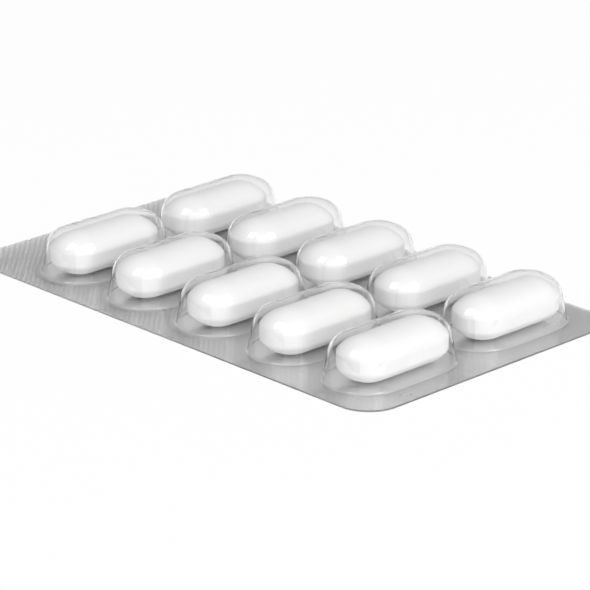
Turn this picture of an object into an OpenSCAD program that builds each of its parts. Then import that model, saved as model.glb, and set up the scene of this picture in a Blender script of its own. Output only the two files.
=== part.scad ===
// Blister pack of oblong film-coated tablets.
// A clear formed film carries two rows of pockets, and an aluminium foil closes them from below.
// The pack lies flat: X runs along the rows, Y along the tablets, Z up from the foil.
// The origin is the centre of the pack's outline, on the underside of the foil.

/* [Tablet] */
// Length of a tablet
tablet_l = 20; // [14:0.1:24]
// Width of a tablet, and the width of its round ends
tablet_w = 9.45; // [6:0.05:11]
// Height of the straight band around a tablet's side
band_h = 2.4; // [1:0.1:4]
// Height of the crown on each face of a tablet, above the band
crown_h = 2.3; // [1:0.1:2.8]

/* [Pocket] */
// Room between a tablet's side and the pocket wall, at the top of the band
side_play = 0.6; // [0.4:0.05:1.2]
// Room between a tablet's end and the pocket wall, at the top of the band
end_play = 0.6; // [0.4:0.05:2]
// Room between a tablet's top and the pocket roof
head_play = 0.7; // [0.3:0.05:2]
// Lean of the pocket wall from upright, in degrees
wall_draft = 11; // [3:0.5:14]
// Inner radius of the shoulder, where the wall turns into the crowned roof
shoulder_r = 3; // [2:0.1:3.6]
// Radius of the bend where the flat film turns up into a wall
flare_r = 0.4; // [0.2:0.05:1]

/* [Sheet] */
// Thickness of the clear film
film_t = 0.25; // [0.15:0.01:0.4]
// Thickness of the lidding foil
foil_t = 0.03; // [0.02:0.01:0.1]
// Flat film between neighbouring pockets of one row
column_gap = 2.6; // [0.5:0.1:8]
// Flat film between the two rows of pockets, end to end
row_gap = 0.7; // [0.5:0.1:10]
// Flat film outside the pockets along the front and the back
side_margin = 3.25; // [1.5:0.05:15]
// Flat film outside the last pockets of the rows
end_margin = 3.95; // [1.5:0.05:15]
// Flat film at the other end, which is kept bare for a batch code
code_margin = 10.7; // [1.5:0.1:30]
// Radius of the pack's corners
corner_r = 5.5; // [1:0.1:8]
// Air between a tablet and the foil it rests on
seat_gap = 0.02; // [0.01:0.01:0.1]

/* [Hidden] */
$fn = 96;
columns = 5;
rows = 2;

// Where each tablet lies in its pocket, as shares of the free play across and along.
// The front row comes first, and each row starts at the end with the batch code.
lie = [
    [0.2, -0.7], [-0.9, 0.1], [0.6, -0.2], [0.7, -0.3], [0.4, 0.5],
    [-0.3, -0.9], [-0.5, -0.8], [-0.7, -0.4], [0, 0.1], [0.4, 0.6]
];

// How many straight steps the flare, the shoulder and the roof of a pocket's section take
flare_steps = 5;
shoulder_steps = 8;
roof_steps = 5;
// The most of the room over a tablet's band that the shoulder may take
shoulder_share = 0.95;
// How far a cutting shape passes the face that it cuts
cut_past = 1;

tablet_h = band_h + 2 * crown_h;
tablet_straight = tablet_l - tablet_w;
crown_arc_r = (pow(tablet_w / 2, 2) + pow(crown_h, 2)) / (2 * crown_h);

// Heights in a pocket are measured from the foil's upper face, and half widths from its middle.
// The inner wall leans in to the tablet's widest edge, at the top of its band, and turns there.
band_top = seat_gap + crown_h + band_h;
roof_h = seat_gap + tablet_h + head_play;
edge_x = tablet_w / 2 + side_play;
shoulder = min(shoulder_r, shoulder_share * (roof_h - band_top) / (1 - sin(wall_draft)));
shoulder_at = [edge_x - shoulder * cos(wall_draft), band_top - shoulder * sin(wall_draft)];
// The roof is one arc that meets the shoulder smoothly and is level over the middle
shoulder_drop = roof_h - shoulder_at[1];
roof_r = (pow(shoulder_at[0], 2) + pow(shoulder_drop, 2) - pow(shoulder, 2))
    / (2 * (shoulder_drop - shoulder));
roof_at = [0, roof_h - roof_r];
roof_turn = atan2(shoulder_at[1] - roof_at[1], shoulder_at[0]);
// The flare is the bend at the wall's foot, and its centre lies outside the wall
foot_r = flare_r + film_t;
foot_at = [edge_x + (band_top - foot_r) * tan(wall_draft) + foot_r / cos(wall_draft), foot_r];

pocket_straight = tablet_straight + 2 * (end_play - side_play);
pocket_w = 2 * foot_at[0];
pocket_l = pocket_w + pocket_straight;
pitch_x = pocket_w + column_gap;
pitch_y = pocket_l + row_gap;
pack_l = code_margin + columns * pocket_w + (columns - 1) * column_gap + end_margin;
pack_w = 2 * side_margin + rows * pocket_l + (rows - 1) * row_gap;

// Points of an arc: centre, radius, first and last angle, number of steps, and the first point used
function arc(c, r, from, to, steps, first = 0) =
    [for (i = [first:steps]) let (a = from + (to - from) * i / steps) c + r * [cos(a), sin(a)]];

// Half section of a pocket's skin, offset outwards from the inner skin by out, and carried on
// downwards by below from the flat face that it turns out of
function skin(out, below) = concat(
    [[0, out - below], [foot_at[0], out - below]],
    arc(foot_at, foot_r - out, 270, 180 + wall_draft, flare_steps),
    arc(shoulder_at, shoulder + out, wall_draft, roof_turn, shoulder_steps),
    arc(roof_at, roof_r + out, roof_turn, 90, roof_steps, 1)
);

// Half section of a tablet: its band, with a crown above and below
module tablet_section() {
    translate([0, crown_h]) square([tablet_w / 2, band_h]);
    intersection() {
        translate([0, crown_arc_r]) circle(crown_arc_r);
        square([tablet_w / 2, crown_h]);
    }
    intersection() {
        translate([0, tablet_h - crown_arc_r]) circle(crown_arc_r);
        translate([0, crown_h + band_h]) square([tablet_w / 2, crown_h]);
    }
}

// A half section, given as the child, run along Y with a round turn at each end
module oblong(straight) {
    for (side = [0, 1]) mirror([side, 0, 0])
        rotate([90, 0, 0]) linear_extrude(straight, center = true) children();
    for (end = [0, 1]) mirror([0, end, 0])
        translate([0, straight / 2, 0]) rotate_extrude(angle = 180) children();
}

// Flat sheet with the pack's outline, t thick, standing on height 0
module sheet(t) {
    linear_extrude(t) {
        square([pack_l - 2 * corner_r, pack_w], center = true);
        square([pack_l, pack_w - 2 * corner_r], center = true);
        for (x = [-1, 1], y = [-1, 1])
            translate([x * (pack_l / 2 - corner_r), y * (pack_w / 2 - corner_r)]) circle(corner_r);
    }
}

// Centre of the pocket with this number, counted along the front row and then the back row
function pocket_at(n) =
    let (column = (n - 1) % columns, row = floor((n - 1) / columns))
    [
        -pack_l / 2 + code_margin + pocket_w / 2 + column * pitch_x,
        (row - (rows - 1) / 2) * pitch_y
    ];

// Clear film: one sheet, with every pocket formed upwards out of it
module blister_film() {
    color([0.86, 0.88, 0.9, 0.35]) translate([0, 0, foil_t]) difference() {
        union() {
            sheet(film_t);
            for (n = [1:columns * rows]) translate(pocket_at(n))
                oblong(pocket_straight) polygon(skin(film_t, film_t));
        }
        for (n = [1:columns * rows]) translate(pocket_at(n))
            oblong(pocket_straight) polygon(skin(0, cut_past));
    }
}

// Aluminium foil, sealed to the film's underside
module lidding_foil() {
    color([0.74, 0.75, 0.77]) sheet(foil_t);
}

// One tablet, lying in its pocket
module tablet(n) {
    at = pocket_at(n);
    shift = [lie[n - 1][0] * side_play, lie[n - 1][1] * end_play];
    color([0.96, 0.96, 0.95])
        translate([at[0] + shift[0], at[1] + shift[1], foil_t + seat_gap])
            oblong(tablet_straight) tablet_section();
}

blister_film();
lidding_foil();
for (n = [1:columns * rows])
    tablet(n);
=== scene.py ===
# %% [markdown]
# # A blister pack of ten oblong tablets
# The pack is a clear formed film on an aluminium foil, with one white tablet in each pocket.
# The solids come from the CAD frame, and this script dresses them for a picture: it gives the film,
# the foil and the tablets their finished surfaces, materials and light. Every length below is in
# millimetres until a mesh is made, because that is how such a pack is drawn, and Blender gets metres.

# %% Load the fixed frame
import math

import bmesh
import bpy
import numpy as np
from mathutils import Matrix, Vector


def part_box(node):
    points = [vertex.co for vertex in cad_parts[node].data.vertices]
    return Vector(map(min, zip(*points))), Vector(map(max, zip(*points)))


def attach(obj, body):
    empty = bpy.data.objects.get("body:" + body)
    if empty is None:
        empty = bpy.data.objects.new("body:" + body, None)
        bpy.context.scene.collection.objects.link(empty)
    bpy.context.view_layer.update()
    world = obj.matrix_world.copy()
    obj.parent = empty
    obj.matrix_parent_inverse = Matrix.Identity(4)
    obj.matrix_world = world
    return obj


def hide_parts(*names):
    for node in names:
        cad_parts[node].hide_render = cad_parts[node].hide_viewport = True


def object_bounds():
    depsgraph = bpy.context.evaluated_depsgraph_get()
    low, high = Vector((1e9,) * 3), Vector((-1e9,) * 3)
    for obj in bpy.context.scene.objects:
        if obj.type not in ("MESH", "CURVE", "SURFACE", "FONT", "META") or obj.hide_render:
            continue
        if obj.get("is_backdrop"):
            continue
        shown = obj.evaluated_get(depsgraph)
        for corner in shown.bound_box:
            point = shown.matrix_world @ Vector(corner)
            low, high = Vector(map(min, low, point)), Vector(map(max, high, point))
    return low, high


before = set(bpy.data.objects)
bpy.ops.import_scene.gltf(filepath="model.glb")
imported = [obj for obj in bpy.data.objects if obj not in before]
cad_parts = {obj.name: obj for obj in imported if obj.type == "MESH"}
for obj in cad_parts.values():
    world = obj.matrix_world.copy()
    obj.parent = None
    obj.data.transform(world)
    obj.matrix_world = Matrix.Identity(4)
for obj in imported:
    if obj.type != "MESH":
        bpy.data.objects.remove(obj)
cad_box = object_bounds()
MM = 0.001
print("CAD nodes:", len(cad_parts))

# %% [markdown]
# ## The measures of the pack
# The pack was formed from one drawing, so a few measures fix every pocket. The outline and the
# places of the tablets are read from the frame. The section of a pocket is repeated here from the
# part's source: a wall that leans in, a round shoulder, and a roof that is one shallow arc.

# %% Measures of the sheet and of the tablets
low, high = (np.array(corner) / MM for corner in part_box("blister_film"))
pack_l, pack_w = (high - low)[:2]
foil_t = 0.03
film_t = 0.25
corner_r = 5.5
columns, rows = 5, 2
tablet_names = [f"tablet_{n}" for n in range(1, columns * rows + 1)]
tablet_boxes = [np.array(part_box(name)) / MM for name in tablet_names]
tablet_l, tablet_w = 20.0, 9.45
crown_h, band_h = 2.3, 2.4
tablet_h = band_h + 2 * crown_h
print(f"Pack {pack_l:.2f} x {pack_w:.2f} mm, tablet {tablet_l:.2f} x {tablet_w:.2f} x {tablet_h:.2f} mm")

# %% Measures of a pocket
side_play = 0.6
head_play = 0.7
seat_gap = 0.02
wall_draft = math.radians(11)
shoulder_r = 3.0
flare_r = 0.4
column_gap, row_gap = 2.6, 0.7
code_margin = 10.7
band_top = seat_gap + crown_h + band_h
roof_h = seat_gap + tablet_h + head_play
edge_x = tablet_w / 2 + side_play
shoulder_at = np.array([
    edge_x - shoulder_r * math.cos(wall_draft),
    band_top - shoulder_r * math.sin(wall_draft),
])
shoulder_drop = roof_h - shoulder_at[1]
roof_r = (shoulder_at[0] ** 2 + shoulder_drop ** 2 - shoulder_r ** 2) / (2 * (shoulder_drop - shoulder_r))
roof_at = np.array([0.0, roof_h - roof_r])
roof_turn = math.atan2(shoulder_at[1] - roof_at[1], shoulder_at[0])
foot_r = flare_r + film_t
foot_x = edge_x + (band_top - foot_r) * math.tan(wall_draft) + foot_r / math.cos(wall_draft)
foot_at = np.array([foot_x, foot_r])
straight = tablet_l - tablet_w
pitch_x = 2 * foot_x + column_gap
pitch_y = 2 * foot_x + straight + row_gap
first_x = -pack_l / 2 + code_margin + foot_x
pocket_spots = [
    (first_x + column * pitch_x, (row - 0.5) * pitch_y)
    for row in range(rows)
    for column in range(columns)
]
print(f"Pocket {2 * foot_x:.2f} x {2 * foot_x + straight:.2f} mm, pitch {pitch_x:.2f} x {pitch_y:.2f} mm")

# %% [markdown]
# ## Camera
# The photograph looks down at the pack from one corner with a long lens. Its place was worked out
# from the outlines of the pockets and tablets, so the camera is set by angles round the pack and not
# moved by eye. It comes first, so that every later piece can be looked at from the right side.

# %% Camera at the photograph's angle
SENSOR = 36.0
CAMERA_FOCUS = 198.75
CAMERA_AZIMUTH = math.radians(46.055)
CAMERA_ELEVATION = math.radians(20.641)
CAMERA_AWAY = 516.49
camera_aim = Vector((2.722, -0.300, 0.0)) * MM
back = Vector((
    math.sin(CAMERA_AZIMUTH) * math.cos(CAMERA_ELEVATION),
    -math.cos(CAMERA_AZIMUTH) * math.cos(CAMERA_ELEVATION),
    math.sin(CAMERA_ELEVATION),
))
camera_data = bpy.data.cameras.new("camera")
camera_data.sensor_width = SENSOR
camera_data.lens = CAMERA_FOCUS
camera_data.clip_start = 0.01
camera_data.clip_end = 20
camera = bpy.data.objects.new("camera", camera_data)
camera.location = camera_aim + back * CAMERA_AWAY * MM
camera.rotation_euler = (-back).to_track_quat("-Z", "Y").to_euler()
bpy.context.scene.collection.objects.link(camera)
bpy.context.scene.camera = camera
print("Camera stands", tuple(round(v, 4) for v in camera.location))

# %% [markdown]
# ## Paths and profiles
# A pocket and a tablet have the same plan: a straight length with a half circle at each end. Both
# are a half section, drawn as radius against height, that is carried round that oblong path. So one
# helper lays out the path, and another carries any half section round it as a grid of points.

# %% Helpers for an arc and for a grid's faces
def arc(centre, radius, start, stop, steps):
    """Points of a circle: centre + radius * (cos a, sin a), for a even from start to stop in radians."""
    a = np.linspace(start, stop, steps + 1)
    return centre + np.column_stack((radius * np.cos(a), radius * np.sin(a)))


def grid_faces(around, along, first=0):
    """Corner numbers of the quads of a grid that closes on itself around and is open along."""
    i, j = np.meshgrid(np.arange(around), np.arange(along - 1), indexing="ij")
    here = i * along + j
    ahead = (i + 1) % around * along + j
    return first + np.stack((here, here + 1, ahead + 1, ahead), axis=-1).reshape(-1, 4)


print("A grid of 4 x 3 points has", len(grid_faces(4, 3)), "faces")

# %% The oblong path
TURN_STEPS = 18
SIDE_STEPS = 10


def oblong_path(corner_angles, half_straight, turn_steps=TURN_STEPS):
    """Angle and centre of each point on an oblong path.
    The path turns through four quarters, and in each one a point falls at the quarter's own corner angle.
    The quarters turn about the far end of the straight length, then about the near end."""
    steps = turn_steps // 2
    quarters = []
    for quarter, corner in enumerate(corner_angles):
        inner = np.linspace(0, corner, steps + 1)
        outer = np.linspace(corner, math.pi / 2, steps + 1)[1:]
        turned = np.concatenate((inner, outer))
        if quarter % 2:
            turned = math.pi / 2 - turned[::-1]
        quarters.append(quarter * math.pi / 2 + turned)
    side = np.linspace(half_straight, -half_straight, SIDE_STEPS + 1)[1:-1]
    angles = np.concatenate((
        quarters[0], quarters[1][1:], np.full(side.size, math.pi),
        quarters[2], quarters[3][1:], np.full(side.size, 2 * math.pi),
    ))
    end = np.full(2 * turn_steps + 1, half_straight)
    return angles, np.concatenate((end, side, -end, -side))


even_corners = [math.pi / 4] * 4
print("Points round the path:", oblong_path(even_corners, straight / 2)[0].size)

# %% Making a mesh object from points and faces
MERGE_WITHIN = 0.002


def new_piece(name, points, faces, crease_degrees=40):
    """A mesh object in metres at the origin.
    Points that coincide are merged, so poles and seams are closed. Faces are turned outwards, and
    shading is smooth except over an edge that turns by more than crease_degrees."""
    mesh = bpy.data.meshes.new(name)
    mesh.from_pydata((points * MM).tolist(), [], faces.tolist())
    work = bmesh.new()
    work.from_mesh(mesh)
    bmesh.ops.remove_doubles(work, verts=work.verts, dist=MERGE_WITHIN * MM)
    bmesh.ops.recalc_face_normals(work, faces=work.faces)
    open_edges = sum(1 for edge in work.edges if len(edge.link_faces) != 2)
    volume = work.calc_volume(signed=True) / MM ** 3
    work.to_mesh(mesh)
    work.free()
    mesh.shade_smooth()
    mesh.set_sharp_from_angle(angle=math.radians(crease_degrees))
    piece = bpy.data.objects.new(name, mesh)
    bpy.context.scene.collection.objects.link(piece)
    print(f"{name}: {len(mesh.polygons)} faces, {open_edges} open edges, {volume:.1f} cubic mm")
    return piece


# %% [markdown]
# ## Sheets made of cells
# The film and the foil are both sheets that cover the whole pack. Each pocket sits in a cell, a
# rectangle of the sheet whose outer cells end at the pack's rounded outline. A ray from the pocket's
# path to the cell's edge tells how far the flat part of the sheet reaches, so the same grid runs
# without a break from the middle of the pocket out to the edge. Neighbours share their edge points.

# %% How far a cell reaches from its pocket
def cell_reach(spot, angles, centres):
    """Distance from the path's centre to the cell's edge along each angle, and whether it is the cut edge.
    A ray ends on the nearer of the cell's two straight edges ahead of it. In a corner of the pack it
    ends on the corner's circle, at the far root of the quadratic for a ray and a circle."""
    column = round((spot[0] - first_x) / pitch_x)
    left = spot[0] + pack_l / 2 if column == 0 else pitch_x / 2
    right = pack_l / 2 - spot[0] if column == columns - 1 else pitch_x / 2
    outer = pack_w / 2 - abs(spot[1])
    inner = abs(spot[1])
    front, rear = (outer, inner) if spot[1] < 0 else (inner, outer)
    dx, dy = np.cos(angles), np.sin(angles)
    start = np.column_stack((np.full(angles.size, spot[0]), spot[1] + centres))
    with np.errstate(divide="ignore"):
        to_side = np.where(dx > 0, right, left) / np.abs(dx)
        to_end = np.where(dy > 0, rear - centres, front + centres) / np.abs(dy)
    reach = np.minimum(to_side, to_end)
    hit = start + reach[:, None] * np.column_stack((dx, dy))
    middle = np.array([pack_l / 2 - corner_r, pack_w / 2 - corner_r])
    in_corner = (np.abs(hit) > middle + 1e-9).all(axis=1)
    towards = start - np.sign(hit) * middle
    b = (towards * np.column_stack((dx, dy))).sum(axis=1)
    c = (towards ** 2).sum(axis=1) - corner_r ** 2
    reach = np.where(in_corner, -b + np.sqrt(np.maximum(b ** 2 - c, 0)), reach)
    hit = start + reach[:, None] * np.column_stack((dx, dy))
    on_cut = in_corner | (np.abs(np.abs(hit) - [pack_l / 2, pack_w / 2]) < 1e-6).any(axis=1)
    return reach, on_cut


def corner_angles_of(spot):
    """The direction of each of a cell's corners, seen from the end of the pocket's straight length."""
    column = round((spot[0] - first_x) / pitch_x)
    left = spot[0] + pack_l / 2 if column == 0 else pitch_x / 2
    right = pack_l / 2 - spot[0] if column == columns - 1 else pitch_x / 2
    outer = pack_w / 2 - abs(spot[1]) - straight / 2
    inner = abs(spot[1]) - straight / 2
    front, rear = (outer, inner) if spot[1] < 0 else (inner, outer)
    ends = (rear, rear, front, front)
    sides = (right, left, left, right)
    return [math.atan2(end, side) for end, side in zip(ends, sides)]


print("Corner directions of the first cell:", np.degrees(corner_angles_of(pocket_spots[0])).round(1))

# %% Two skins over every cell, joined along the cut edge
FLANGE_SHARES = np.array([0.06, 0.15, 0.3, 0.5, 0.75, 1.0])


def skin_points(spot, section, flange_z, path, reach):
    """A grid of points: the half section carried round the path, then rings out to the cell's edge.
    Each point is the path's centre plus radius * (cos a, sin a). On the flat part the radius goes from
    the section's last one to the reach, in the shares that FLANGE_SHARES gives."""
    angles, centres = path
    last = section[-1, 0]
    flat = last + (reach[:, None] - last) * FLANGE_SHARES
    radius = np.concatenate((np.tile(section[:, 0], (angles.size, 1)), flat), axis=1)
    height = np.concatenate((section[:, 1], np.full(FLANGE_SHARES.size, flange_z)))
    x = spot[0] + radius * np.cos(angles)[:, None]
    y = spot[1] + centres[:, None] + radius * np.sin(angles)[:, None]
    return np.stack((x, y, np.broadcast_to(height, x.shape)), axis=-1)


def sheet_piece(name, upper, lower, upper_z, lower_z, ripple=None):
    """A closed sheet over the whole pack: an upper and a lower skin in each cell, and the cut edge."""
    points, faces, count = [], [], 0
    for spot in pocket_spots:
        path = oblong_path(corner_angles_of(spot), straight / 2)
        reach, on_cut = cell_reach(spot, *path)
        ends = []
        for section, flange_z in ((upper, upper_z), (lower, lower_z)):
            skin = skin_points(spot, section, flange_z, path, reach)
            around, along = skin.shape[:2]
            points.append(skin.reshape(-1, 3))
            faces.append(grid_faces(around, along, count))
            ends.append(count + np.arange(around) * along + along - 1)
            count += around * along
        cut = on_cut & np.roll(on_cut, -1)
        rim = np.stack((ends[0], np.roll(ends[0], -1), np.roll(ends[1], -1), ends[1]), axis=-1)
        faces.append(rim[cut])
    points = np.concatenate(points)
    if ripple is not None:
        points = ripple(points)
    return new_piece(name, points, np.concatenate(faces))


print("Rings on the flat part of a cell:", FLANGE_SHARES.size)

# %% [markdown]
# ## The clear film
# A sheet of clear plastic is softened and blown into a mould, so the pockets and the flat part are
# one skin with a smooth flare where they meet. It is built with both faces and a real thickness,
# because the bright double lines along a pocket's silhouette come from light bending in that
# thickness. The flat part dips a hair into the foil's upper face, so that the two are sealed
# together with no air between them, as the real seal is.

# %% The film's two half sections
FLARE_STEPS, WALL_STEPS, SHOULDER_STEPS, ROOF_STEPS = 6, 3, 9, 9
SEAL_DIP = 0.01


def pocket_section(out, dip):
    """Half section of a pocket's skin from the roof's middle down to the flat sheet.
    It is the inner skin moved outwards by out: roof arc, shoulder arc, straight wall, flare arc. The
    flare grows by dip towards its foot, so that it runs smoothly into a flat face that lies lower."""
    roof = arc(roof_at, roof_r + out, math.pi / 2, roof_turn, ROOF_STEPS)
    shoulder = arc(shoulder_at, shoulder_r + out, roof_turn, wall_draft, SHOULDER_STEPS)
    turn = np.linspace(math.pi + wall_draft, 1.5 * math.pi, FLARE_STEPS + 1)
    size = foot_r - out + dip * np.linspace(0, 1, FLARE_STEPS + 1)
    flare = foot_at + size[:, None] * np.column_stack((np.cos(turn), np.sin(turn)))
    share = np.linspace(0, 1, WALL_STEPS + 1)[1:-1, None]
    wall = shoulder[-1] + (flare[0] - shoulder[-1]) * share
    section = np.concatenate((roof, shoulder[1:], wall, flare))
    return section + [0, foil_t]


outer_section = pocket_section(film_t, 0)
inner_section = pocket_section(0, SEAL_DIP)
print(f"Outer roof at {outer_section[0, 1]:.2f} mm, foot at {outer_section[-1, 1]:.2f} mm")

# %% The film
film = sheet_piece("clear_film_sheet", outer_section, inner_section, foil_t + film_t, foil_t - SEAL_DIP)
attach(film, "root")
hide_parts("blister_film")

# %% [markdown]
# ## The foil
# The lidding is aluminium foil a few hundredths of a millimetre thick. It is never quite flat: the
# hot sealing plate leaves it very slightly uneven, and that is what makes its grey shift from place
# to place. So it gets the same cells as the film, and both faces are lifted by a shallow ripple, a
# sum of three plane waves that fades to nothing at the cut edge.

# %% The foil
RIPPLE_H = 0.006
RIPPLE_EASE = 2.0
RIPPLE_WAVES = [(0.62, 0.23, 0.4), (-0.31, 0.54, 2.1), (0.17, -0.83, 4.0)]
FOIL_STEPS = 6


def foil_ripple(points):
    """Lifts each point by RIPPLE_H * the mean of three waves, cos(kx x + ky y + phase), from 0 to 1.
    Towards the cut edge the lift eases off over RIPPLE_EASE, and it is nothing on the edge itself."""
    x, y = points[:, 0], points[:, 1]
    lift = sum(np.cos(kx * x + ky * y + phase) for kx, ky, phase in RIPPLE_WAVES) / len(RIPPLE_WAVES)
    from_edge = np.minimum(pack_l / 2 - np.abs(x), pack_w / 2 - np.abs(y))
    fade = np.clip(from_edge / RIPPLE_EASE, 0, 1)
    return points + np.column_stack((np.zeros((x.size, 2)), RIPPLE_H * fade * (lift + 1) / 2))


foil_reach = np.linspace(0, foot_x, FOIL_STEPS + 1)
foil_top = np.column_stack((foil_reach, np.full(foil_reach.size, foil_t)))
foil_bottom = np.column_stack((foil_reach, np.zeros(foil_reach.size)))
foil = sheet_piece("foil_lidding", foil_top, foil_bottom, foil_t, 0.0, foil_ripple)
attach(foil, "root")
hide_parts("lidding_foil")

# %% [markdown]
# ## The tablets
# An oblong tablet is pressed between two cupped punches in an oblong die. The die leaves the upright
# band and the punches leave the two crowns, and the film coat rounds off the edge between them. The
# half section is drawn as crown, small rounding, band, small rounding, crown, and carried round the
# oblong path. Each tablet is put where its CAD solid lies, loose in its pocket.

# %% A tablet's half section
EDGE_R = 1.0
CROWN_STEPS, EDGE_STEPS, BAND_STEPS = 14, 5, 3
TABLET_TURN_STEPS = 28
crown_r = ((tablet_w / 2) ** 2 + crown_h ** 2) / (2 * crown_h)


def tablet_section():
    """Half section from the lower pole to the upper pole.
    The rounding's circle touches the band from inside, and the crown's circle from inside too, so its
    centre is at half the width less EDGE_R, and at crown_r less EDGE_R from the crown's centre."""
    crown_z = tablet_h - crown_r
    edge_at = tablet_w / 2 - EDGE_R
    edge_z = crown_z + math.sqrt((crown_r - EDGE_R) ** 2 - edge_at ** 2)
    meet = math.atan2(edge_z - crown_z, edge_at)
    crown = arc(np.array([0.0, crown_z]), crown_r, math.pi / 2, meet, CROWN_STEPS)
    edge = arc(np.array([edge_at, edge_z]), EDGE_R, meet, 0, EDGE_STEPS)
    upper = np.concatenate((crown, edge[1:]))
    lower = upper * [1, -1] + [0, tablet_h]
    share = np.linspace(0, 1, BAND_STEPS + 1)[1:-1, None]
    band = lower[-1] + (upper[-1] - lower[-1]) * share
    return np.concatenate((lower, band, upper[::-1]))


print("Points in a tablet's half section:", len(tablet_section()))

# %% Ten tablets, each on its CAD solid's place
section = tablet_section()
section[[0, -1], 0] = 0
angles, centres = oblong_path(even_corners, straight / 2, TABLET_TURN_STEPS)
tablets = []
for name, (box_low, box_high) in zip(tablet_names, tablet_boxes):
    middle = (box_low + box_high) / 2
    x = middle[0] + section[:, 0] * np.cos(angles)[:, None]
    y = middle[1] + centres[:, None] + section[:, 0] * np.sin(angles)[:, None]
    z = np.broadcast_to(box_low[2] + section[:, 1], x.shape)
    points = np.stack((x, y, z), axis=-1).reshape(-1, 3)
    tablet = new_piece("coated_" + name, points, grid_faces(*x.shape))
    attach(tablet, "root")
    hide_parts(name)
    tablets.append(tablet)

# %% [markdown]
# ## Material tools
# A material is a small graph of nodes. These helpers keep each graph readable: one makes a node with
# its values, one adds a piece of arithmetic, and one mixes two shaders. Patterns read Object
# coordinates, so they stay on the pack whatever the camera does.

# %% Helpers for nodes
def add(tree, kind, values=None, **settings):
    """A new node of that kind. values go on its input sockets, and settings on the node itself."""
    node = tree.nodes.new(kind)
    for key, value in settings.items():
        setattr(node, key, value)
    for key, value in (values or {}).items():
        node.inputs[key].default_value = value
    return node


def join(tree, source, target):
    """Links an output socket to an input socket."""
    tree.links.new(source, target)


def feed(tree, term, target):
    """Puts a number on an input socket, or links an output socket to it."""
    if isinstance(term, (int, float)):
        target.default_value = term
    else:
        join(tree, term, target)


def maths(tree, operation, *terms):
    """The output of a Math node. Each term is a number or an output socket."""
    node = add(tree, "ShaderNodeMath", operation=operation)
    for place, term in enumerate(terms):
        feed(tree, term, node.inputs[place])
    return node.outputs[0]


def mix_shaders(tree, share, first, second):
    """The output of a Mix Shader node: the first shader where share is 0, the second where it is 1."""
    choice = add(tree, "ShaderNodeMixShader")
    for place, source in enumerate((share, first, second)):
        join(tree, source, choice.inputs[place])
    return choice.outputs[0]


def new_group(name, inputs, outputs):
    """An empty node group with float inputs, given as name and default, and named outputs."""
    tree = bpy.data.node_groups.new(name, "ShaderNodeTree")
    for label, default in inputs:
        socket = tree.interface.new_socket(label, in_out="INPUT", socket_type="NodeSocketFloat")
        socket.default_value = default
    for label in outputs:
        tree.interface.new_socket(label, in_out="OUTPUT", socket_type="NodeSocketFloat")
    return tree, tree.nodes.new("NodeGroupInput"), tree.nodes.new("NodeGroupOutput")


def new_material(name):
    """A material whose tree holds only its output node."""
    material = bpy.data.materials.new(name)
    material.use_nodes = True
    material.node_tree.nodes.clear()
    output = material.node_tree.nodes.new("ShaderNodeOutputMaterial")
    return material, material.node_tree, output


print("Node helpers are ready")

# %% [markdown]
# ## Effect: where the pockets are
# The foil's finish changes at a pocket's foot, because it is knurled only where it is sealed. This
# group works out how far a point is outside the nearest pocket. It folds the whole pack onto one
# pocket, then measures to that oblong, so ten pockets cost no more than one.

# %% Group: distance outside the pockets
def pocket_distance_group():
    """Distance outside the nearest pocket's foot, in millimetres, from Object coordinates.
    The column is the rounded share (x - first) / pitch, held within the pack. The rows mirror each
    other, so |y| serves for both. An oblong's distance is the length of (dx, what dy passes the
    straight part by), less its half width."""
    tree, _, output = new_group("distance outside pockets", [], ["Distance"])
    place = add(tree, "ShaderNodeTexCoord")
    split = add(tree, "ShaderNodeSeparateXYZ")
    join(tree, place.outputs["Object"], split.inputs[0])
    x = maths(tree, "MULTIPLY", split.outputs["X"], 1 / MM)
    y = maths(tree, "MULTIPLY", split.outputs["Y"], 1 / MM)
    from_first = maths(tree, "SUBTRACT", x, float(first_x))
    column = maths(tree, "ROUND", maths(tree, "DIVIDE", from_first, float(pitch_x)))
    column = maths(tree, "MINIMUM", maths(tree, "MAXIMUM", column, 0.0), float(columns - 1))
    dx = maths(tree, "SUBTRACT", from_first, maths(tree, "MULTIPLY", column, float(pitch_x)))
    dy = maths(tree, "SUBTRACT", maths(tree, "ABSOLUTE", y), float(pitch_y / 2))
    past = maths(tree, "SUBTRACT", maths(tree, "ABSOLUTE", dy), float(straight / 2))
    past = maths(tree, "MAXIMUM", past, 0.0)
    squares = maths(tree, "ADD", maths(tree, "MULTIPLY", dx, dx), maths(tree, "MULTIPLY", past, past))
    distance = maths(tree, "SUBTRACT", maths(tree, "SQRT", squares), float(foot_x))
    join(tree, distance, output.inputs["Distance"])
    return tree


pocket_distance = pocket_distance_group()
print("Group made:", pocket_distance.name)

# %% [markdown]
# ## Effect: the knurl of the sealing plate
# The heated plate that seals the foil has a face of tiny pyramids, set at 45 degrees to the pack. It
# prints a fine diamond pattern wherever it presses, and none over the pockets, which fall in holes of
# the plate. The pressure was uneven, so the print is deep at the end with the wide margin and fades
# towards the other. A mask for the pockets and a mask along the pack shape one repeating height.

# %% Group: height of the knurl
KNURL_PITCH = 0.80
KNURL_CLEAR = 0.35
KNURL_EASE = 0.5
KNURL_BLEND = 0.25
KNURL_FADE_FROM, KNURL_FADE_TO = -8.0, 24.0
KNURL_LEAST = 0.10


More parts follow.
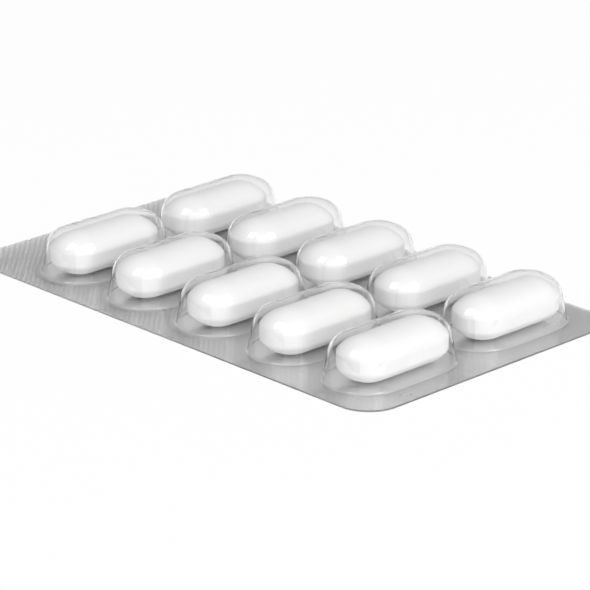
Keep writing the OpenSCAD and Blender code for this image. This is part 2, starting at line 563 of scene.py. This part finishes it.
def knurl_group():
    """Height from 0 to 1 of a diamond knurl, and the mask of where it is printed.
    Along each of the two directions (x + y) / sqrt 2 and (x - y) / sqrt 2 a wave rises and falls once
    per pitch. A point's height is the lesser of the two, blended a little where they meet, so grooves
    cross and leave little pyramids."""
    tree, taken, output = new_group("seal knurl", [("Pitch", KNURL_PITCH)], ["Height", "Mask"])
    place = add(tree, "ShaderNodeTexCoord")
    split = add(tree, "ShaderNodeSeparateXYZ")
    join(tree, place.outputs["Object"], split.inputs[0])
    x, y = split.outputs["X"], split.outputs["Y"]
    half = maths(tree, "MULTIPLY", taken.outputs["Pitch"], MM / 2)
    waves = []
    for operation in ("ADD", "SUBTRACT"):
        across = maths(tree, "MULTIPLY", maths(tree, operation, x, y), math.sqrt(0.5))
        wave = maths(tree, "DIVIDE", maths(tree, "PINGPONG", across, half), half)
        waves.append(wave)
    ridge = maths(tree, "SMOOTH_MIN", *waves, KNURL_BLEND)
    outside = add(tree, "ShaderNodeGroup", node_tree=pocket_distance)
    clear = add(tree, "ShaderNodeMapRange", {
        "From Min": KNURL_CLEAR, "From Max": KNURL_CLEAR + KNURL_EASE,
    }, interpolation_type="SMOOTHSTEP")
    join(tree, outside.outputs["Distance"], clear.inputs["Value"])
    fade = add(tree, "ShaderNodeMapRange", {
        "From Min": KNURL_FADE_FROM * MM, "From Max": KNURL_FADE_TO * MM,
        "To Min": 1.0, "To Max": KNURL_LEAST,
    }, interpolation_type="SMOOTHSTEP")
    join(tree, x, fade.inputs["Value"])
    mask = maths(tree, "MULTIPLY", clear.outputs["Result"], fade.outputs["Result"])
    join(tree, maths(tree, "MULTIPLY", ridge, mask), output.inputs["Height"])
    join(tree, mask, output.inputs["Mask"])
    return tree


knurl = knurl_group()
print("Group made:", knurl.name)

# %% [markdown]
# ## Effect: the cut edge
# The last step at the factory is a punch that shears each pack out of the web. The shear leaves the
# edge of the film frosted, so it shows as one plain thin line and not as a row of glassy glints. This
# group is a mask of that edge, from the distance to the pack's rounded outline.

# %% Group: the cut edge
CUT_DEPTH = 0.06


def cut_edge_group():
    """1 on the outline and 0 further inside than CUT_DEPTH, from Object coordinates.
    With q = |point| - (half size - corner radius), the outline lies where the length of max(q, 0)
    plus min(max(q), 0) comes to the corner radius."""
    tree, _, output = new_group("cut edge", [], ["Mask"])
    place = add(tree, "ShaderNodeTexCoord")
    split = add(tree, "ShaderNodeSeparateXYZ")
    join(tree, place.outputs["Object"], split.inputs[0])
    past = []
    for axis, size in (("X", pack_l), ("Y", pack_w)):
        along = maths(tree, "MULTIPLY", maths(tree, "ABSOLUTE", split.outputs[axis]), 1 / MM)
        past.append(maths(tree, "SUBTRACT", along, float(size / 2 - corner_r)))
    outer = [maths(tree, "MAXIMUM", q, 0.0) for q in past]
    squares = [maths(tree, "MULTIPLY", q, q) for q in outer]
    reach = maths(tree, "SQRT", maths(tree, "ADD", *squares))
    inside = maths(tree, "MINIMUM", maths(tree, "MAXIMUM", *past), 0.0)
    distance = maths(tree, "ADD", reach, inside)
    mask = maths(tree, "GREATER_THAN", distance, corner_r - CUT_DEPTH)
    join(tree, mask, output.inputs["Mask"])
    return tree


cut_edge = cut_edge_group()
print("Group made:", cut_edge.name)

# %% [markdown]
# ## Effect: soft unevenness
# No made surface is perfectly even. One group of two noises, a broad one and a fine one, gives every
# material its slow changes of tone and its slight waviness, each at its own scale and strength. Two
# helpers turn its value into a number or a colour between two ends.

# %% Group: soft unevenness
NOISE_LOW, NOISE_HIGH = 0.3, 0.7
COLOUR_A, COLOUR_B, COLOUR_OUT = 6, 7, 2


def uneven_group():
    """A value round 0.5: the mix of a broad and a fine noise of Object coordinates, sizes in mm."""
    inputs = [("Broad", 12.0), ("Fine", 1.5), ("Fine share", 0.3)]
    tree, taken, output = new_group("soft unevenness", inputs, ["Value"])
    place = add(tree, "ShaderNodeTexCoord")
    noises = []
    for label in ("Broad", "Fine"):
        noise = add(tree, "ShaderNodeTexNoise", {"Detail": 2.0, "Roughness": 0.5})
        join(tree, place.outputs["Object"], noise.inputs["Vector"])
        join(tree, maths(tree, "DIVIDE", 1 / MM, taken.outputs[label]), noise.inputs["Scale"])
        noises.append(noise.outputs["Fac"])
    blend = add(tree, "ShaderNodeMix", data_type="FLOAT")
    join(tree, taken.outputs["Fine share"], blend.inputs["Factor"])
    join(tree, noises[0], blend.inputs["A"])
    join(tree, noises[1], blend.inputs["B"])
    join(tree, blend.outputs["Result"], output.inputs["Value"])
    return tree


uneven = uneven_group()


def ranged(tree, value, low_end, high_end):
    """Stretches a value from its usual span, NOISE_LOW to NOISE_HIGH, to run from low_end to high_end."""
    node = add(tree, "ShaderNodeMapRange", {
        "From Min": NOISE_LOW, "From Max": NOISE_HIGH, "To Min": low_end, "To Max": high_end,
    })
    join(tree, value, node.inputs["Value"])
    return node.outputs["Result"]


def toned(tree, value, darker, paler):
    """A colour that goes from darker to paler as the value goes from 0 to 1."""
    blend = add(tree, "ShaderNodeMix", {COLOUR_A: darker, COLOUR_B: paler}, data_type="RGBA")
    join(tree, value, blend.inputs["Factor"])
    return blend.outputs[COLOUR_OUT]


print("Group made:", uneven.name)

# %% [markdown]
# ## Finish of the clear film
# Clear plastic bends light and mirrors a little of it, more at a glancing angle. The Principled
# shader does this with full transmission. Light from lamps doesn't find its way through bending
# plastic easily, so shadow rays and rays from matt surfaces pass straight through a lightly tinted
# Transparent shader instead. A faint waviness of the surface and small changes of gloss keep it from
# looking like cast glass, and the mask of the cut edge makes that edge fully rough.

# %% The film's material
FILM_WAVE_H = 0.06


def film_material():
    """Clear plastic for rays that are seen, and a plain tinted pane for rays that only carry light."""
    material, tree, output = new_material("clear formed film")
    body = add(tree, "ShaderNodeBsdfPrincipled", {
        "Base Color": (0.99, 0.99, 0.99, 1.0), "Transmission Weight": 1.0, "IOR": 1.50,
    })
    haze = add(tree, "ShaderNodeGroup", {"Broad": 9.0, "Fine": 2.0, "Fine share": 0.4}, node_tree=uneven)
    gloss = ranged(tree, haze.outputs["Value"], 0.015, 0.06)
    sheared = add(tree, "ShaderNodeGroup", node_tree=cut_edge)
    join(tree, maths(tree, "MAXIMUM", gloss, sheared.outputs["Mask"]), body.inputs["Roughness"])
    wave = add(tree, "ShaderNodeGroup", {"Broad": 7.0, "Fine": 2.6, "Fine share": 0.35}, node_tree=uneven)
    bump = add(tree, "ShaderNodeBump", {"Strength": 1.0, "Distance": FILM_WAVE_H * MM})
    join(tree, wave.outputs["Value"], bump.inputs["Height"])
    join(tree, bump.outputs["Normal"], body.inputs["Normal"])
    pane = add(tree, "ShaderNodeBsdfTransparent", {"Color": (0.96, 0.96, 0.96, 1.0)})
    path = add(tree, "ShaderNodeLightPath")
    carried = maths(tree, "MAXIMUM", path.outputs["Is Shadow Ray"], path.outputs["Is Diffuse Ray"])
    join(tree, mix_shaders(tree, carried, body.outputs[0], pane.outputs[0]), output.inputs["Surface"])
    return material


film.data.materials.append(film_material())
print("Film finished")

# %% [markdown]
# ## Finish of the foil
# Bare aluminium foil is metal with a satin roll finish. The knurl is pressed into it where it is
# sealed, and the foil over the pockets stays smooth and a little brighter in its mirror. The seal
# itself is rougher, so the mask of the knurl drives the roughness too.

# %% The foil's material
KNURL_H = 0.15
CRINKLE_H = 0.03
SEAL_ROUGHER = 0.06


def foil_material():
    """Satin aluminium: metal whose roughness and relief follow the knurl's mask and a soft unevenness."""
    material, tree, output = new_material("aluminium foil")
    body = add(tree, "ShaderNodeBsdfPrincipled", {"Metallic": 1.0})
    print_of_plate = add(tree, "ShaderNodeGroup", {"Pitch": KNURL_PITCH}, node_tree=knurl)
    tone = add(tree, "ShaderNodeGroup", {"Broad": 14.0, "Fine": 0.6, "Fine share": 0.35}, node_tree=uneven)
    colour = toned(tree, tone.outputs["Value"], (0.84, 0.84, 0.843, 1.0), (0.92, 0.92, 0.923, 1.0))
    join(tree, colour, body.inputs["Base Color"])
    satin = ranged(tree, tone.outputs["Value"], 0.26, 0.34)
    rougher = maths(tree, "MULTIPLY", print_of_plate.outputs["Mask"], SEAL_ROUGHER)
    join(tree, maths(tree, "ADD", satin, rougher), body.inputs["Roughness"])
    relief = add(tree, "ShaderNodeBump", {"Strength": 1.0, "Distance": KNURL_H * MM})
    join(tree, print_of_plate.outputs["Height"], relief.inputs["Height"])
    crinkle = add(tree, "ShaderNodeBump", {"Strength": 1.0, "Distance": CRINKLE_H * MM})
    join(tree, tone.outputs["Value"], crinkle.inputs["Height"])
    join(tree, relief.outputs["Normal"], crinkle.inputs["Normal"])
    join(tree, crinkle.outputs["Normal"], body.inputs["Normal"])
    join(tree, body.outputs[0], output.inputs["Surface"])
    return material


foil.data.materials.append(foil_material())
print("Foil finished")

# %% [markdown]
# ## Finish of the tablets
# The coat is a thin white polymer film sprayed on while the tablets tumble. It is smooth with a soft
# gloss and the very slight pitting of an orange peel. White is written as a little under full white,
# so that the light can still show the shape.

# %% The tablets' material
PIT_H = 0.01


def coat_material():
    """White film coat: a soft gloss over a matt white, with fine pitting and slow changes of tone."""
    material, tree, output = new_material("white film coat")
    body = add(tree, "ShaderNodeBsdfPrincipled", {
        "IOR": 1.46, "Coat Weight": 0.06, "Coat Roughness": 0.2,
    })
    tone = add(tree, "ShaderNodeGroup", {"Broad": 4.0, "Fine": 0.35, "Fine share": 0.5}, node_tree=uneven)
    colour = toned(tree, tone.outputs["Value"], (0.86, 0.86, 0.856, 1.0), (0.90, 0.90, 0.896, 1.0))
    join(tree, colour, body.inputs["Base Color"])
    join(tree, ranged(tree, tone.outputs["Value"], 0.52, 0.62), body.inputs["Roughness"])
    pits = add(tree, "ShaderNodeBump", {"Strength": 1.0, "Distance": PIT_H * MM})
    join(tree, tone.outputs["Value"], pits.inputs["Height"])
    join(tree, pits.outputs["Normal"], body.inputs["Normal"])
    join(tree, body.outputs[0], output.inputs["Surface"])
    return material


white_coat = coat_material()
for tablet in tablets:
    tablet.data.materials.append(white_coat)
print("Tablets finished")

# %% [markdown]
# ## Floor and light
# The photograph is a pack shot on pure white. The floor is a wide pale disc that is drawn nearly
# white for rays that are seen, and still takes the pack's soft shadow. Two soft boxes stand in front,
# one to each side of the camera: they make the pair of bright windows on each pocket. A wide fill
# between them lights the tablets and is left out of the gloss, so that the film stays clear. A plain
# sky of light does the rest. The foil lies flat, so it mirrors the part of the sky low behind the pack.

# %% The floor
FLOOR_R = 3000.0
FLOOR_DROP = 0.02
FLOOR_SIDES = 128
FLOOR_GLOW = 0.93
ring = arc(np.zeros(2), FLOOR_R, 0, 2 * math.pi, FLOOR_SIDES)[:-1]
floor_mesh = bpy.data.meshes.new("floor")
floor_points = np.column_stack((ring, np.full(len(ring), -FLOOR_DROP))) * MM
floor_mesh.from_pydata(floor_points.tolist(), [], [list(range(len(ring)))])
floor = bpy.data.objects.new("floor", floor_mesh)
bpy.context.scene.collection.objects.link(floor)
floor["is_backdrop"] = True


def floor_material():
    """Pale floor: matt white, mixed with a white glow for rays that are seen directly or in the pack."""
    material, tree, output = new_material("pale floor")
    matt = add(tree, "ShaderNodeBsdfDiffuse", {"Color": (0.86, 0.86, 0.86, 1.0)})
    glow = add(tree, "ShaderNodeEmission", {"Color": (1.0, 1.0, 1.0, 1.0), "Strength": 1.0})
    path = add(tree, "ShaderNodeLightPath")
    seen = maths(tree, "MAXIMUM", path.outputs["Is Camera Ray"], path.outputs["Is Glossy Ray"])
    seen = maths(tree, "MAXIMUM", seen, path.outputs["Is Transmission Ray"])
    share = maths(tree, "MULTIPLY", seen, FLOOR_GLOW)
    join(tree, mix_shaders(tree, share, matt.outputs[0], glow.outputs[0]), output.inputs["Surface"])
    return material


floor_mesh.materials.append(floor_material())
print("Floor is", 2 * FLOOR_R * MM, "metres across")

# %% The sky of light
ZENITH_LEVEL = 0.58
LOW_LEVEL, LOW_SWING, LOW_BRIGHTEST = 0.34, 0.34, 200.0
MID_LEVEL, MID_SWING, MID_BRIGHTEST = 0.57, 0.18, 95.0
DARKEST = 0.10
LOW_TO_MID = (10, 45)
MID_TO_ZENITH = (40, 75)
world = bpy.data.worlds.new("studio")
bpy.context.scene.world = world
world.use_nodes = True
sky = world.node_tree
sky.nodes.clear()
sky_out = sky.nodes.new("ShaderNodeOutputWorld")
background = add(sky, "ShaderNodeBackground", {"Strength": 1.0})
direction = add(sky, "ShaderNodeTexCoord")
parts = add(sky, "ShaderNodeSeparateXYZ")
join(sky, direction.outputs["Generated"], parts.inputs[0])


def round_the_pack(level, swing, brightest):
    """A level that turns with the direction: level + swing * (x sin b - y cos b).
    The azimuth b, in degrees, is where the ring is brightest, and no part is dimmer than DARKEST."""
    b = math.radians(brightest)
    right = maths(sky, "MULTIPLY", parts.outputs["X"], swing * math.sin(b))
    front = maths(sky, "MULTIPLY", parts.outputs["Y"], -swing * math.cos(b))
    turned = maths(sky, "ADD", level, maths(sky, "ADD", right, front))
    return maths(sky, "MAXIMUM", turned, DARKEST)


def blend_up(below, above, from_degrees, to_degrees):
    """Goes smoothly from the level below to the level above, between two elevations in degrees."""
    share = add(sky, "ShaderNodeMapRange", {
        "From Min": math.sin(math.radians(from_degrees)), "From Max": math.sin(math.radians(to_degrees)),
    }, interpolation_type="SMOOTHSTEP")
    join(sky, parts.outputs["Z"], share.inputs["Value"])
    blend = add(sky, "ShaderNodeMix", data_type="FLOAT")
    join(sky, share.outputs["Result"], blend.inputs["Factor"])
    feed(sky, below, blend.inputs["A"])
    feed(sky, above, blend.inputs["B"])
    return blend.outputs["Result"]


low_ring = round_the_pack(LOW_LEVEL, LOW_SWING, LOW_BRIGHTEST)
middle_ring = round_the_pack(MID_LEVEL, MID_SWING, MID_BRIGHTEST)
level = blend_up(blend_up(low_ring, middle_ring, *LOW_TO_MID), ZENITH_LEVEL, *MID_TO_ZENITH)
grey = add(sky, "ShaderNodeCombineColor")
for channel in range(3):
    join(sky, level, grey.inputs[channel])
join(sky, grey.outputs[0], background.inputs["Color"])
join(sky, background.outputs[0], sky_out.inputs["Surface"])
print("Sky overhead:", ZENITH_LEVEL, "low ring round", LOW_LEVEL, "middle ring round", MID_LEVEL)

# %% The soft boxes
def soft_box(name, azimuth, elevation, away, width, height, level):
    """A rectangular lamp at that direction round the pack, in degrees, facing the pack's middle.
    It stands away metres off and is width by height metres. Its power in watts is the level of its
    face times pi times its area."""
    a, e = math.radians(azimuth), math.radians(elevation)
    out = Vector((math.sin(a) * math.cos(e), -math.cos(a) * math.cos(e), math.sin(e)))
    data = bpy.data.lights.new(name, "AREA")
    data.shape = "RECTANGLE"
    data.size, data.size_y = width, height
    data.energy = level * math.pi * width * height
    lamp = bpy.data.objects.new(name, data)
    lamp.location = out * away
    lamp.rotation_euler = out.to_track_quat("Z", "Y").to_euler()
    bpy.context.scene.collection.objects.link(lamp)
    return lamp


WINDOW = {"away": 0.9, "width": 0.36, "height": 0.60}
soft_boxes = [
    soft_box("soft_box_left", azimuth=4.0, elevation=45.0, level=2.5, **WINDOW),
    soft_box("soft_box_right", azimuth=90.0, elevation=43.0, level=3.3, **WINDOW),
]
fill = soft_box("fill", azimuth=58.0, elevation=22.0, away=1.1, width=1.2, height=1.2, level=1.7)
fill.visible_glossy = False
print("Lamps:", [lamp.name for lamp in soft_boxes + [fill]])

# %% [markdown]
# ## Colours, and the last measure
# The Standard view transform shows each colour as it is written. Last, the finished pack is measured
# beside its solids, and how far dressing it has grown its box is printed.

# %% View transform
bpy.context.scene.view_settings.view_transform = "Standard"
print("View transform:", bpy.context.scene.view_settings.view_transform)

# %% Sizes, and the end
visual_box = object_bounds()
growth = [round((v - c) / MM, 4) for a, b in zip(visual_box, cad_box) for v, c in zip(a, b)]
print("Box grows by", growth, "mm")
